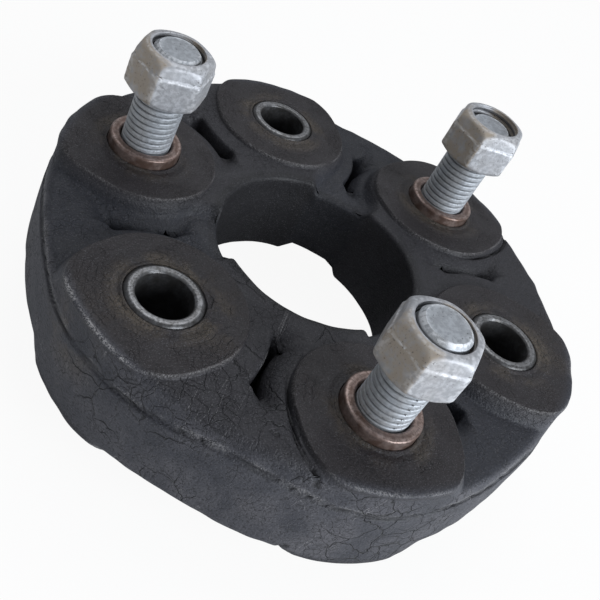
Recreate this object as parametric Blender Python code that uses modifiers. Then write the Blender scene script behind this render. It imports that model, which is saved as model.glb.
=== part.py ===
"""Flexible disc coupling for a propeller shaft, six bushes on one pitch circle.

Three bushes stay open for the far flange, three carry long bolts with lock nuts.
Cord packs loop round neighbouring bushes inside the moulded rubber body.
All sizes are in metres. +Z runs along the shaft, and z = 0 is the underside of the bolt heads.
"""

import math

import bmesh
import bpy
from mathutils import Matrix, Vector

# ---------------------------------------------------------------- driving dimensions
MM = 0.001
CLEAR = 0.3 * MM                 # gap between neighbouring pieces

PITCH_RADIUS = 48.0 * MM         # bolt circle 96 mm
BUSH_COUNT = 6
BUSH_STEP = 360 / BUSH_COUNT     # degrees from one bush to the next
FIRST_BUSH = 30                  # direction of the first bush, degrees
BOLTED_ANGLES = (270, 30, 150)   # degrees, anticlockwise seen from above
OPEN_ANGLES = (210, 330, 90)
SUNK_MIDDLES = (300, 60, 180)    # middles of the recessed webs, each with a core cord pack
FULL_MIDDLES = (240, 0, 120)     # middles of the full webs, each with two outer cord packs

HEAD_HEIGHT = 7.5 * MM
BUSH_LENGTH = 30.0 * MM
BUSH_PROUD = 2.1 * MM            # the long end of a bush stands this much further out
MID_PLANE = HEAD_HEIGHT + CLEAR + (BUSH_LENGTH - BUSH_PROUD) / 2

# rubber body
OUTLINE_RADIUS = 65.7 * MM       # mean radius of the rounded hexagon
OUTLINE_SWELL = 0.8 * MM         # more at the bushes, less between them
HOLE_RADIUS = 25.3 * MM
PAD_RADIUS = 18.3 * MM           # round raised pad about each bush
PAD_HALF = 13.45 * MM            # heights are half thicknesses from the mid-plane
WEB_HALF = 12.1 * MM
VALLEY_HALF = 9.2 * MM
VALLEY_HEAD_RADIUS = 18.6 * MM   # the valley wall about each bush, at the pad's height
VALLEY_FOOT_RADIUS = 20.4 * MM   # and at the valley's floor
VALLEY_ARC = (-135, -18)         # degrees about the bush, from the hole's side to the rim's
VALLEY_INNER_CORNER = (18.2 * MM, 6.8 * MM)     # the valley's cut runs on past the hole
VALLEY_OUTER_CORNER = (78.0 * MM, 21.0 * MM)    # and past the rim
EDGE_ROUND = 1.2 * MM            # the rim's edge at a pad
SHOULDER_ROUND = 2.6 * MM        # the rim's edge at a web
HOLE_ROUND = 1.8 * MM
ROUND_STEPS = 2                  # steps in each rounded edge
BODY_STEPS = 60
PLATE_RADIUS = 90.0 * MM         # reach of the cut that lowers the webs
OVERCUT = 3.0 * MM               # cuts run this far past the body's faces

# hourglass slots between the bushes
SLOT_SIDE_RADIUS = 22.9 * MM     # the slot's sides are arcs about the bushes
SLOT_HALF_LENGTH = 6.4 * MM
SLOT_END_ROUND = 1.5 * MM
SLOT_END_TURNS = (40, 75)        # degrees, the points that round each end
SLOT_SHIFT = 0.7 * MM            # the slot sits this far outside the chord

# bushes and their collars
BORE_RADIUS = 6.2 * MM
SPIGOT_RADIUS = 8.65 * MM
BARREL_RADIUS = 10.0 * MM
BARREL_HALF = 10.3 * MM
BUSH_CHAMFER = 0.6 * MM
COLLAR_RADIUS = 16.0 * MM
COLLAR_THICK = 1.5 * MM
COLLAR_LOW = BARREL_HALF + CLEAR

# cord packs: racetrack loops round pairs of bushes
PACK_INNER_RADIUS = BARREL_RADIUS + CLEAR
PACK_OUTER_RADIUS = 14.6 * MM
PACK_CORE_HALF = 4.6 * MM        # the middle layer
PACK_LOW = 5.7 * MM              # the two outer layers
PACK_HIGH = 9.6 * MM

# bolts and nuts, M12 x 1.5
THREAD_RADIUS = 5.9 * MM
BOLT_LENGTH = 54.8 * MM
BOLT_TIP_RADIUS = 4.7 * MM
BOLT_TIP_LENGTH = 1.2 * MM
ACROSS_FLATS = 17.0 * MM
CORNER_RADIUS = 9.75 * MM        # turned envelope that trims the hexagon's corners
SEAT_RADIUS = 8.1 * MM           # washer face under a bolt's head
SEAT_THICK = 0.4 * MM
HEAD_CHAMFER = 1.0 * MM
NUT_HEIGHT = 11.2 * MM
NUT_SHOULDER = 7.5 * MM          # above this the flats lean in, pinched on to the thread
NUT_TOP_FLATS = 15.6 * MM
NUT_TOP_RADIUS = 7.3 * MM
NUT_CROWN_RADIUS = 8.1 * MM      # the crown's gentle slope ends here
NUT_CROWN_DROP = 0.4 * MM
NUT_CHAMFER = 2.1 * MM           # corners are trimmed down to this far below the top
NUT_FOOT_RADIUS = 8.2 * MM
NUT_FOOT_CHAMFER = 0.9 * MM
NUT_HOLE_RADIUS = 6.2 * MM
NUT_RECESS_RADIUS = 6.9 * MM
NUT_RECESS_DEPTH = 0.7 * MM
NUT_RECESS_SLOPE = 0.3 * MM
NUT_GAPS = {270: 12.5 * MM, 30: 15.0 * MM, 150: 13.4 * MM}   # nut above its bush's end
NUT_TURNS = {270: 53.0, 30: 52.5, 150: 0.0}                  # degrees, one corner's direction

MERGE = 0.01 * MM
SMOOTH_ANGLE = 35                # degrees, steeper edges stay crisp
TURN_STEPS = 20
PAD_STEPS = 28
HIDDEN_STEPS = 16
PACK_STEPS = 8                   # steps in each half round of a cord pack
SIDE_STEPS = 9                   # steps in each side of a slot or valley

PART_NAME = "flexible_disc_coupling"

# colour, roughness, metallic
FINISHES = {
    "rubber": ((0.028, 0.027, 0.030), 0.62, 0.0),
    "cord": ((0.42, 0.36, 0.24), 0.85, 0.0),
    "open_bush_steel": ((0.36, 0.36, 0.37), 0.42, 0.9),
    "bolted_bush_steel": ((0.33, 0.24, 0.19), 0.45, 0.85),
    "collar_steel": ((0.30, 0.30, 0.31), 0.45, 0.9),
    "bolt_plating": ((0.55, 0.56, 0.57), 0.48, 0.75),
    "nut_plating": ((0.58, 0.58, 0.57), 0.55, 0.7),
}


# ---------------------------------------------------------------- scene and materials
def clear_scene():
    for old in list(bpy.data.objects):
        bpy.data.objects.remove(old, do_unlink=True)
    for old in list(bpy.data.collections):
        bpy.data.collections.remove(old)


def make_collection(name):
    collection = bpy.data.collections.new(name)
    bpy.context.scene.collection.children.link(collection)
    return collection


def make_material(name, finish):
    colour, roughness, metallic = FINISHES[finish]
    material = bpy.data.materials.new(name)
    material.use_nodes = True
    shader = material.node_tree.nodes["Principled BSDF"]
    shader.inputs["Base Color"].default_value = (*colour, 1.0)
    shader.inputs["Roughness"].default_value = roughness
    shader.inputs["Metallic"].default_value = metallic
    return material


def add_object(name, data, collection, location=(0, 0, 0)):
    piece = bpy.data.objects.new(name, data)
    piece.location = location
    collection.objects.link(piece)
    return piece


def finish_piece(piece, finish):
    """Gives a piece its own material and smooth shading with crisp edges."""
    piece.data.materials.clear()
    piece.data.materials.append(make_material(piece.name + "_finish", finish))
    if piece.type == "MESH":
        piece.data.shade_smooth()
        piece.data.set_sharp_from_angle(angle=math.radians(SMOOTH_ANGLE))


# ---------------------------------------------------------------- shared geometry
def polar(radius, degrees, z=0.0):
    angle = math.radians(degrees)
    return Vector((radius * math.cos(angle), radius * math.sin(angle), z))


def bush_centre(degrees, z=0.0):
    return polar(PITCH_RADIUS, degrees, z)


def bush_directions():
    return [FIRST_BUSH + BUSH_STEP * i for i in range(BUSH_COUNT)]


def bake(piece, collection):
    """Replaces an object by the mesh that its curve or modifiers make."""
    graph = bpy.context.evaluated_depsgraph_get()
    mesh = bpy.data.meshes.new_from_object(piece.evaluated_get(graph))
    work = bmesh.new()
    work.from_mesh(mesh)
    bmesh.ops.remove_doubles(work, verts=work.verts, dist=MERGE)
    bmesh.ops.recalc_face_normals(work, faces=work.faces)
    work.to_mesh(mesh)
    work.free()
    name = piece.name
    matrix = piece.matrix_world.copy()
    bpy.data.objects.remove(piece, do_unlink=True)
    solid = add_object(name, mesh, collection)
    solid.matrix_world = matrix
    return solid


def extruded(name, outlines, low, high, collection):
    """A flat outline, with any inner outlines as holes, from z = low to z = high."""
    curve = bpy.data.curves.new(name, "CURVE")
    curve.dimensions = "2D"
    curve.fill_mode = "BOTH"
    curve.extrude = (high - low) / 2
    for outline in outlines:
        spline = curve.splines.new("POLY")
        spline.points.add(len(outline) - 1)
        for point, place in zip(spline.points, outline):
            point.co = (place[0], place[1], 0.0, 1.0)
        spline.use_cyclic_u = True
    piece = add_object(name, curve, collection, (0, 0, (high + low) / 2))
    bpy.context.view_layer.update()
    return piece


def turned(name, profile, steps, collection, location, closed=True):
    """Turns a profile of (radius, height) points, outer side top to bottom, about Z."""
    mesh = bpy.data.meshes.new(name)
    work = bmesh.new()
    corners = [work.verts.new((radius, 0.0, height)) for radius, height in profile]
    for first, second in zip(corners, corners[1:]):
        work.edges.new((first, second))
    if closed:
        work.edges.new((corners[-1], corners[0]))
    work.to_mesh(mesh)
    work.free()
    piece = add_object(name, mesh, collection, location)
    screw = piece.modifiers.new("turn", "SCREW")
    screw.axis = "Z"
    screw.angle = math.tau
    screw.steps = steps
    screw.render_steps = steps
    screw.use_merge_vertices = True
    screw.merge_threshold = MERGE
    screw.use_smooth_shade = False
    bpy.context.view_layer.update()
    return piece


def boolean(piece, cutter, operation):
    """Adds a Boolean and puts the cutter out of the render."""
    cutter.hide_render = True
    cutter.display_type = "WIRE"
    modifier = piece.modifiers.new(operation.lower() + "_" + cutter.name, "BOOLEAN")
    modifier.operation = operation
    modifier.solver = "EXACT"
    modifier.object = cutter


def joined(name, pieces, collection):
    """Puts separate closed solids into one cutter."""
    mesh = bpy.data.meshes.new(name)
    work = bmesh.new()
    for piece in pieces:
        solid = bake(piece, collection)
        start = len(work.verts)
        work.from_mesh(solid.data)
        work.verts.ensure_lookup_table()
        bmesh.ops.transform(work, matrix=solid.matrix_world, verts=work.verts[start:])
        bpy.data.objects.remove(solid, do_unlink=True)
    work.to_mesh(mesh)
    work.free()
    return add_object(name, mesh, collection)


def arc(centre, radius, start, end, steps):
    """Points along an arc, both ends included, angles in degrees."""
    return [Vector(centre) + polar(radius, start + (end - start) * i / steps) for i in range(steps + 1)]


def racetrack(first, second, radius):
    """The outline of a band round two bushes."""
    away = math.degrees(math.atan2(first.y - second.y, first.x - second.x))
    near_end = arc(first, radius, away - 90, away + 90, PACK_STEPS)
    far_end = arc(second, radius, away + 90, away + 270, PACK_STEPS)
    return near_end + far_end


# ---------------------------------------------------------------- rubber body
def six_fold(degrees):
    """One wave per bush: 1 at the bushes, -1 half-way between them."""
    return math.cos(math.radians(BUSH_COUNT * (degrees - FIRST_BUSH)))


def rounded_edge(radius, rounding, inward):
    """Points from the flat face round the edge and on to the wall."""
    side = -1 if inward else 1
    points = []
    for i in range(ROUND_STEPS + 1):
        angle = math.radians(90 - 90 * i / ROUND_STEPS)
        across = radius - side * rounding * (1 - math.cos(angle))
        points.append((across, PAD_HALF - rounding * (1 - math.sin(angle))))
    return points


def body_section(degrees):
    """The body's closed section at one angle, as (radius, height) points."""
    at_bush = (1 + six_fold(degrees)) / 2
    rounding = EDGE_ROUND * at_bush + SHOULDER_ROUND * (1 - at_bush)
    outer = rounded_edge(OUTLINE_RADIUS + OUTLINE_SWELL * six_fold(degrees), rounding, inward=False)
    inner = rounded_edge(HOLE_RADIUS, HOLE_ROUND, inward=True)
    down_outside = outer + [(r, -z) for r, z in reversed(outer)]
    up_inside = [(r, -z) for r, z in inner] + list(reversed(inner))
    return down_outside + up_inside


def make_ring(collection):
    """The rounded hexagonal ring, a loft of its sections round the axis."""
    mesh = bpy.data.meshes.new("rubber_body")
    work = bmesh.new()
    loops = []
    for i in range(BODY_STEPS):
        degrees = 360 * i / BODY_STEPS
        loops.append([work.verts.new(polar(r, degrees, MID_PLANE + z)) for r, z in body_section(degrees)])
    for here, there in zip(loops, loops[1:] + loops[:1]):
        for k in range(len(here)):
            following = (k + 1) % len(here)
            work.faces.new((here[k], here[following], there[following], there[k]))
    bmesh.ops.recalc_face_normals(work, faces=work.faces)
    work.to_mesh(mesh)
    work.free()
    return add_object("rubber_body", mesh, collection)


def web_plate(low, high, collection):
    """Everything above the webs, with the six round pads left out."""
    outlines = [arc((0, 0, 0), PLATE_RADIUS, 0, 360, PAD_STEPS)[:-1]]
    for degrees in bush_directions():
        outlines.append(arc(bush_centre(degrees), PAD_RADIUS, 0, 360, PAD_STEPS)[:-1])
    return extruded("web_plate", outlines, low, high, collection)


def both_sides(upper):
    """Closes an outline from its upper side and that side's mirror image."""
    lower = [Vector((p.x, -p.y, p.z)) for p in reversed(upper)]
    return lower + upper


def valley_outline(side_radius):
    """A valley along +X, its sides arcs about the two bushes beside it."""
    start, end = VALLEY_ARC
    side = arc(bush_centre(BUSH_STEP / 2), side_radius, start, end, SIDE_STEPS)
    return both_sides([Vector((*VALLEY_INNER_CORNER, 0))] + side + [Vector((*VALLEY_OUTER_CORNER, 0))])


def valley(middle, upward, collection):
    """A valley between two pads, its walls sloping down to the floor."""
    work = bmesh.new()
    mesh = bpy.data.meshes.new("valley")
    turn = Matrix.Rotation(math.radians(middle), 3, "Z")
    side = 1 if upward else -1
    slope = (VALLEY_FOOT_RADIUS - VALLEY_HEAD_RADIUS) / (PAD_HALF - VALLEY_HALF)
    rings = []
    for height in (VALLEY_HALF, PAD_HALF + OVERCUT):
        radius = VALLEY_FOOT_RADIUS - slope * (height - VALLEY_HALF)
        lift = Vector((0, 0, MID_PLANE + side * height))
        rings.append([work.verts.new(turn @ p + lift) for p in valley_outline(radius)])
    floor, top = rings
    work.faces.new(floor)
    work.faces.new(top)
    for k in range(len(floor)):
        following = (k + 1) % len(floor)
        work.faces.new((floor[k], floor[following], top[following], top[k]))
    bmesh.ops.recalc_face_normals(work, faces=work.faces)
    work.to_mesh(mesh)
    work.free()
    return add_object("valley", mesh, collection)


def slot(middle, collection):
    """An hourglass slot through the body, waisted between two bushes."""
    centre = bush_centre(BUSH_STEP / 2)
    lean_in = math.degrees(math.asin((SLOT_HALF_LENGTH - SLOT_SHIFT) / SLOT_SIDE_RADIUS))
    lean_out = math.degrees(math.asin((SLOT_HALF_LENGTH + SLOT_SHIFT) / SLOT_SIDE_RADIUS))
    side = arc(centre, SLOT_SIDE_RADIUS, -90 - lean_in, -90 + lean_out, SIDE_STEPS)
    first, last = side[0], side[-1]
    inner_end = []
    outer_end = []
    for t in map(math.radians, SLOT_END_TURNS):
        inner_end.insert(0, Vector((first.x - SLOT_END_ROUND * math.sin(t), first.y * math.cos(t), 0)))
        outer_end.append(Vector((last.x + SLOT_END_ROUND * math.sin(t), last.y * math.cos(t), 0)))
    turn = Matrix.Rotation(math.radians(middle), 3, "Z")
    outline = [turn @ p for p in both_sides(inner_end + side + outer_end)]
    reach = PAD_HALF + OVERCUT
    return extruded("slot", [outline], MID_PLANE - reach, MID_PLANE + reach, collection)


def bush_cavity(degrees, collection):
    """Room for a bush and its two collars, open at both ends of the bush."""
    end = PAD_HALF + OVERCUT
    collar_top = COLLAR_LOW + COLLAR_THICK + CLEAR
    half = [
        (SPIGOT_RADIUS + CLEAR, end),
        (SPIGOT_RADIUS + CLEAR, collar_top),
        (COLLAR_RADIUS + CLEAR, collar_top),
        (COLLAR_RADIUS + CLEAR, BARREL_HALF),
        (BARREL_RADIUS + CLEAR, BARREL_HALF),
    ]
    profile = [(0.0, end)] + half + [(r, -z) for r, z in reversed(half)] + [(0.0, -end)]
    place = bush_centre(degrees, MID_PLANE)
    return turned("bush_cavity", profile, HIDDEN_STEPS, collection, place, closed=False)


def pack_layers():
    """Every cord pack as (name, angle of its middle, lowest height, highest height)."""
    layers = []
    for number, degrees in enumerate(SUNK_MIDDLES, 1):
        layers.append((f"cord_pack_core_{number}", degrees, -PACK_CORE_HALF, PACK_CORE_HALF))
    for number, degrees in enumerate(FULL_MIDDLES, 1):
        layers.append((f"cord_pack_upper_{number}", degrees, PACK_LOW, PACK_HIGH))
        layers.append((f"cord_pack_lower_{number}", degrees, -PACK_HIGH, -PACK_LOW))
    return layers


def pack_shape(name, degrees, low, high, grow, collection):
    """A racetrack loop round the two bushes beside an angle, grown for its cavity."""
    first = bush_centre(degrees - BUSH_STEP / 2)
    second = bush_centre(degrees + BUSH_STEP / 2)
    outlines = [
        racetrack(first, second, PACK_OUTER_RADIUS + grow),
        racetrack(first, second, PACK_INNER_RADIUS - grow),
    ]
    return extruded(name, outlines, MID_PLANE + low - grow, MID_PLANE + high + grow, collection)


def make_rubber_body(parts, cutters):
    body = make_ring(parts)
    reach = PAD_HALF + OVERCUT
    plates = [
        web_plate(MID_PLANE + WEB_HALF, MID_PLANE + reach, cutters),
        web_plate(MID_PLANE - reach, MID_PLANE - WEB_HALF, cutters),
    ]
    boolean(body, joined("cut_webs", plates, cutters), "DIFFERENCE")
    valleys = [valley(middle, upward, cutters) for middle in SUNK_MIDDLES for upward in (True, False)]
    boolean(body, joined("cut_valleys", valleys, cutters), "DIFFERENCE")
    slots = [slot(middle, cutters) for middle in SUNK_MIDDLES + FULL_MIDDLES]
    boolean(body, joined("cut_slots", slots, cutters), "DIFFERENCE")
    cavities = [bush_cavity(degrees, cutters) for degrees in bush_directions()]
    boolean(body, joined("cut_bushes", cavities, cutters), "DIFFERENCE")
    for level in ("core", "upper", "lower"):
        shapes = [pack_shape(name, degrees, low, high, CLEAR, cutters)
                  for name, degrees, low, high in pack_layers() if level in name]
        boolean(body, joined("cut_packs_" + level, shapes, cutters), "DIFFERENCE")
    finish_piece(body, "rubber")


# ---------------------------------------------------------------- cords, bushes, collars
def make_cord_packs(parts):
    for name, degrees, low, high in pack_layers():
        pack = pack_shape(name, degrees, low, high, 0.0, parts)
        finish_piece(pack, "cord")


def bush_profile():
    """A bush whose upper spigot is the longer one; heights from the middle of the barrel."""
    long_end = (BUSH_LENGTH + BUSH_PROUD) / 2
    short_end = long_end - BUSH_LENGTH
    return [
        (SPIGOT_RADIUS - BUSH_CHAMFER, long_end),
        (SPIGOT_RADIUS, long_end - BUSH_CHAMFER),
        (SPIGOT_RADIUS, BARREL_HALF),
        (BARREL_RADIUS, BARREL_HALF),
        (BARREL_RADIUS, -BARREL_HALF),
        (SPIGOT_RADIUS, -BARREL_HALF),
        (SPIGOT_RADIUS, short_end + BUSH_CHAMFER),
        (SPIGOT_RADIUS - BUSH_CHAMFER, short_end),
        (BORE_RADIUS, short_end),
        (BORE_RADIUS, long_end),
    ]


def make_bush(name, degrees, finish, parts):
    bush = bake(turned(name, bush_profile(), TURN_STEPS, parts, bush_centre(degrees, MID_PLANE)), parts)
    finish_piece(bush, finish)
    return bush


def make_collar(name, degrees, upper, parts):
    low = COLLAR_LOW if upper else -COLLAR_LOW - COLLAR_THICK
    profile = [
        (COLLAR_RADIUS, low + COLLAR_THICK),
        (COLLAR_RADIUS, low),
        (SPIGOT_RADIUS + CLEAR, low),
        (SPIGOT_RADIUS + CLEAR, low + COLLAR_THICK),
    ]
    collar = bake(turned(name, profile, HIDDEN_STEPS, parts, bush_centre(degrees, MID_PLANE)), parts)
    finish_piece(collar, "collar_steel")
    return collar


def hang(piece, axis):
    """Parents a piece to the empty on its joint's axis and keeps its place."""
    piece.parent = axis
    piece.location -= axis.location


def make_bushes(parts, bolted_axis):
    for number, degrees in enumerate(OPEN_ANGLES, 1):
        bush = make_bush(f"open_bush_{number}", degrees, "open_bush_steel", parts)
        bush.rotation_euler = (math.pi, 0, 0)
        make_collar(f"open_collar_upper_{number}", degrees, True, parts)
        make_collar(f"open_collar_lower_{number}", degrees, False, parts)
    for number, degrees in enumerate(BOLTED_ANGLES, 1):
        hang(make_bush(f"bolted_bush_{number}", degrees, "bolted_bush_steel", parts), bolted_axis)
        hang(make_collar(f"bolted_collar_upper_{number}", degrees, True, parts), bolted_axis)
        hang(make_collar(f"bolted_collar_lower_{number}", degrees, False, parts), bolted_axis)


# ---------------------------------------------------------------- bolts and nuts
def hexagon(name, height, corner_degrees, collection, location):
    """A hexagonal bar from z = 0, one corner in the given direction."""
    mesh = bpy.data.meshes.new(name)
    work = bmesh.new()
    radius = ACROSS_FLATS / math.sqrt(3)
    bmesh.ops.create_cone(work, cap_ends=True, segments=6, radius1=radius, radius2=radius, depth=height)
    bmesh.ops.translate(work, verts=work.verts, vec=(0, 0, height / 2))
    turn = Matrix.Rotation(math.radians(corner_degrees - 90), 3, "Z")
    bmesh.ops.rotate(work, verts=work.verts, matrix=turn)
    work.to_mesh(mesh)
    work.free()
    return add_object(name, mesh, collection, location)


def lean_top(piece):
    """Carries a nut's hexagon on above its shoulder, with flats that lean in."""
    work = bmesh.new()
    work.from_mesh(piece.data)
    top = max(work.faces, key=lambda face: face.calc_center_median().z)
    grown = bmesh.ops.extrude_face_region(work, geom=[top])
    corners = [item for item in grown["geom"] if isinstance(item, bmesh.types.BMVert)]
    if top.is_valid:
        work.faces.remove(top)
    narrow = NUT_TOP_FLATS / ACROSS_FLATS
    for corner in corners:
        corner.co = Vector((corner.co.x * narrow, corner.co.y * narrow, NUT_HEIGHT))
    bmesh.ops.recalc_face_normals(work, faces=work.faces)
    work.to_mesh(piece.data)
    work.free()


def make_bolt(name, degrees, parts, cutters):
    place = bush_centre(degrees)
    bolt = hexagon(name, HEAD_HEIGHT, degrees, parts, place)
    envelope = turned("trim_" + name, [
        (0.0, HEAD_HEIGHT),
        (SEAT_RADIUS, HEAD_HEIGHT),
        (SEAT_RADIUS, HEAD_HEIGHT - SEAT_THICK),
        (CORNER_RADIUS, HEAD_HEIGHT - SEAT_THICK),
        (CORNER_RADIUS, HEAD_CHAMFER),
        (SEAT_RADIUS, 0.0),
        (0.0, 0.0),
    ], TURN_STEPS, cutters, place, closed=False)
    shank_end = HEAD_HEIGHT + BOLT_LENGTH
    shank = turned("shank_" + name, [
        (0.0, shank_end),
        (BOLT_TIP_RADIUS, shank_end),
        (THREAD_RADIUS, shank_end - BOLT_TIP_LENGTH),
        (THREAD_RADIUS, HEAD_HEIGHT / 2),
        (0.0, HEAD_HEIGHT / 2),
    ], TURN_STEPS, cutters, place, closed=False)
    boolean(bolt, envelope, "INTERSECT")
    boolean(bolt, shank, "UNION")
    finish_piece(bolt, "bolt_plating")
    return bolt


def make_nut(name, degrees, parts, cutters):
    bush_end = MID_PLANE + (BUSH_LENGTH + BUSH_PROUD) / 2
    place = bush_centre(degrees, bush_end + NUT_GAPS[degrees])
    nut = hexagon(name, NUT_SHOULDER, NUT_TURNS[degrees], parts, place)
    lean_top(nut)
    envelope = turned("trim_" + name, [
        (0.0, NUT_HEIGHT),
        (NUT_TOP_RADIUS, NUT_HEIGHT),
        (NUT_CROWN_RADIUS, NUT_HEIGHT - NUT_CROWN_DROP),
        (CORNER_RADIUS, NUT_HEIGHT - NUT_CHAMFER),
        (CORNER_RADIUS, NUT_FOOT_CHAMFER),
        (NUT_FOOT_RADIUS, 0.0),
        (0.0, 0.0),
    ], TURN_STEPS, cutters, place, closed=False)
    hole = turned("hole_" + name, [
        (0.0, NUT_HEIGHT + OVERCUT),
        (NUT_RECESS_RADIUS, NUT_HEIGHT + OVERCUT),
        (NUT_RECESS_RADIUS, NUT_HEIGHT - NUT_RECESS_DEPTH),
        (NUT_HOLE_RADIUS, NUT_HEIGHT - NUT_RECESS_DEPTH - NUT_RECESS_SLOPE),
        (NUT_HOLE_RADIUS, -OVERCUT),
        (0.0, -OVERCUT),
    ], TURN_STEPS, cutters, place, closed=False)
    boolean(nut, envelope, "INTERSECT")
    boolean(nut, hole, "DIFFERENCE")
    finish_piece(nut, "nut_plating")
    return nut


def make_fasteners(parts, cutters, bolted_axis):
    for number, degrees in enumerate(BOLTED_ANGLES, 1):
        hang(make_bolt(f"bolt_{number}", degrees, parts, cutters), bolted_axis)
        hang(make_nut(f"lock_nut_{number}", degrees, parts, cutters), bolted_axis)


# ---------------------------------------------------------------- assembly
def main():
    clear_scene()
    parts = make_collection(PART_NAME)
    cutters = make_collection("cutters")
    bolted_axis = add_object("bolted_side_axis", None, parts, (0, 0, MID_PLANE))
    make_rubber_body(parts, cutters)
    make_cord_packs(parts)
    make_bushes(parts, bolted_axis)
    make_fasteners(parts, cutters, bolted_axis)
    bpy.context.view_layer.update()


main()
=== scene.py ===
"""Dresses the flexible disc coupling: moulded rubber skin, wound cords, threads and worn metal.

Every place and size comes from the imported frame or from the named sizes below, in metres.
"""
import math
from itertools import product

import bpy
import numpy as np
from mathutils import Matrix, Vector
from mathutils.geometry import delaunay_2d_cdt


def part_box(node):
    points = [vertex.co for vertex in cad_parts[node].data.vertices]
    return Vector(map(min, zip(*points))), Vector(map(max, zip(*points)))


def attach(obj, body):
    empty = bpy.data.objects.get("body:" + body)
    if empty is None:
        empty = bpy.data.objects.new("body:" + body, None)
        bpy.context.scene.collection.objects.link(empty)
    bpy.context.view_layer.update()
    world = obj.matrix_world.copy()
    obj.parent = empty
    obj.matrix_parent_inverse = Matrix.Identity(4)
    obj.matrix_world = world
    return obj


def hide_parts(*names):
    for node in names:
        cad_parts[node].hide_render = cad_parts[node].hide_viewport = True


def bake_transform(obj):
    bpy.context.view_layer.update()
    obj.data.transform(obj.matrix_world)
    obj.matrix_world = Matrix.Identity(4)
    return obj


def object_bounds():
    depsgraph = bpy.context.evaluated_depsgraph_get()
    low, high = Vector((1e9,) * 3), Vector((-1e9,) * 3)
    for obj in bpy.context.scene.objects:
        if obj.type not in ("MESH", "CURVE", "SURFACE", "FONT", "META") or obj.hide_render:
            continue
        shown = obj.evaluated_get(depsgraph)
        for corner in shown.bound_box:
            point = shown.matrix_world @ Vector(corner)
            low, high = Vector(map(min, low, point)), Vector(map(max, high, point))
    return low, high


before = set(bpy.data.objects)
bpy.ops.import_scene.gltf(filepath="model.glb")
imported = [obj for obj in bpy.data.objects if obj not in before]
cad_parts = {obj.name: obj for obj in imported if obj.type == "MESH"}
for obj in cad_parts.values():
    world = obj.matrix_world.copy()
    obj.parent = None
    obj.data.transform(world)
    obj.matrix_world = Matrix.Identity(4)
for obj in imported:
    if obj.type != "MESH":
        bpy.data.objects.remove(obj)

cad_box = [list(corner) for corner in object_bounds()]

# ---------------------------------------------------------------- sizes
MM = 0.001
BUSH_NUMBERS = (1, 2, 3)


def node_middle(node):
    low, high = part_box(node)
    return (Vector(low) + Vector(high)) / 2


def node_half(node):
    low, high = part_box(node)
    return (Vector(high) - Vector(low)) / 2


def height_range(node):
    low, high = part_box(node)
    return low[2], high[2]


PITCH_RADIUS = node_middle("open_bush_1").xy.length
MID_PLANE = node_middle("rubber_body").z
PAD_HALF = node_half("rubber_body").z
BARREL_RADIUS = node_half("open_bush_1").y
COLLAR_RADIUS = node_half("open_collar_upper_1").y
COLLAR_LOW = height_range("open_collar_upper_1")[0] - MID_PLANE
COLLAR_HIGH = height_range("open_collar_upper_1")[1] - MID_PLANE
BOX_LOW, BOX_HIGH = np.array(cad_box[0]), np.array(cad_box[1])

OUTLINE_RADIUS = 65.7 * MM
OUTLINE_SWELL = 0.8 * MM
WALL_INSET = 0.35 * MM           # the bellied wall swells this much, back out to the outline
RIM_LEAN = np.array([0.3, 0.3, 0.3, 1.0, 0.3, 0.1]) * MM   # the shoulder's inset, one per web
HOLE_RADIUS = 25.3 * MM
WEB_HALF = 12.1 * MM
VALLEY_HALF = 9.2 * MM
PAD_RADIUS = 18.3 * MM
PAD_FLARE = 2.1 * MM             # the pad reaches this much further out towards the rim
VALLEY_SLOPE = 1.9 * MM          # width of a valley's wall, right beside the pad
VALLEY_SPREAD = 20.5             # degrees either side of the valley's middle, at the hole
SLOT_SIDE_RADIUS = 23.5 * MM
SLOT_MIDDLE = PITCH_RADIUS * math.cos(math.radians(30)) + 0.7 * MM
SLOT_HALF_LENGTH = 7.9 * MM
RIM_RADIUS = 8.72 * MM           # the rubber's hole about each bush
CAVITY_GAP = 0.15 * MM

BORE_RADIUS = 6.2 * MM
SPIGOT_RADIUS = 8.65 * MM
THREAD_RADIUS = 5.9 * MM
PITCH = 1.5 * MM
THREAD_DEPTH = 0.85 * MM
ACROSS_FLATS = 17.0 * MM
CORNER_RADIUS = 9.75 * MM
SEAT_RADIUS = 8.1 * MM
CORD_SIZE = 1.05 * MM
PACK_RADIUS = 14.6 * MM          # of a cord pack's round ends
CREASE_DEPTH = 0.45 * MM

OPEN_FLAT_RADIUS = 7.75 * MM     # where an open bush's flat end gives way to its shoulder, darkened with painted shade
OPEN_DROP = 0.6 * MM
BOLTED_DROP = 1.2 * MM
BORE_BEVEL = 0.45 * MM

NUT_HEIGHT = 11.2 * MM
NUT_SHOULDER = 7.4 * MM
NUT_CROWN = 7.3 * MM
NUT_HOLE = 6.15 * MM
NUT_RECESS = {1: 6.3 * MM, 2: 6.3 * MM, 3: 6.2 * MM}
NUT_TURNS = {1: 53.0, 2: 52.5, 3: 0.0}       # degrees, as photographed

HEAD_HEIGHT = 7.5 * MM
TIP_RADIUS = 4.6 * MM
POINT_RADIUS = 5.55 * MM         # of the plain point between the thread and the tip's bevel
POINT_LENGTH = 2.4 * MM
THREAD_START = 30 * MM
BOLT_TURNS = {1: 270, 2: 30, 3: 150}
# rings of a bolt's end face: radius and drop below the tip
TIP_RINGS = np.array([(4.55, 0.02), (4.3, 0.06), (3.6, 0.05), (2.6, 0.03), (1.6, 0.02), (0.6, 0.02)]) * MM
DIRTY_SIDE = 197                 # degrees, the way of the sides darkened most, with dirt and painted shade


# ---------------------------------------------------------------- numpy helpers
def ramp(low, high, value):
    """Climbs from 0 at low to 1 at high, level at both ends."""
    part = np.clip((value - low) / (high - low), 0, 1)
    return part * part * (3 - 2 * part)


def ramp_mm(low, high, value):
    """The same for lengths, with low and high in millimetres."""
    return ramp(low * MM, high * MM, value)


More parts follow.
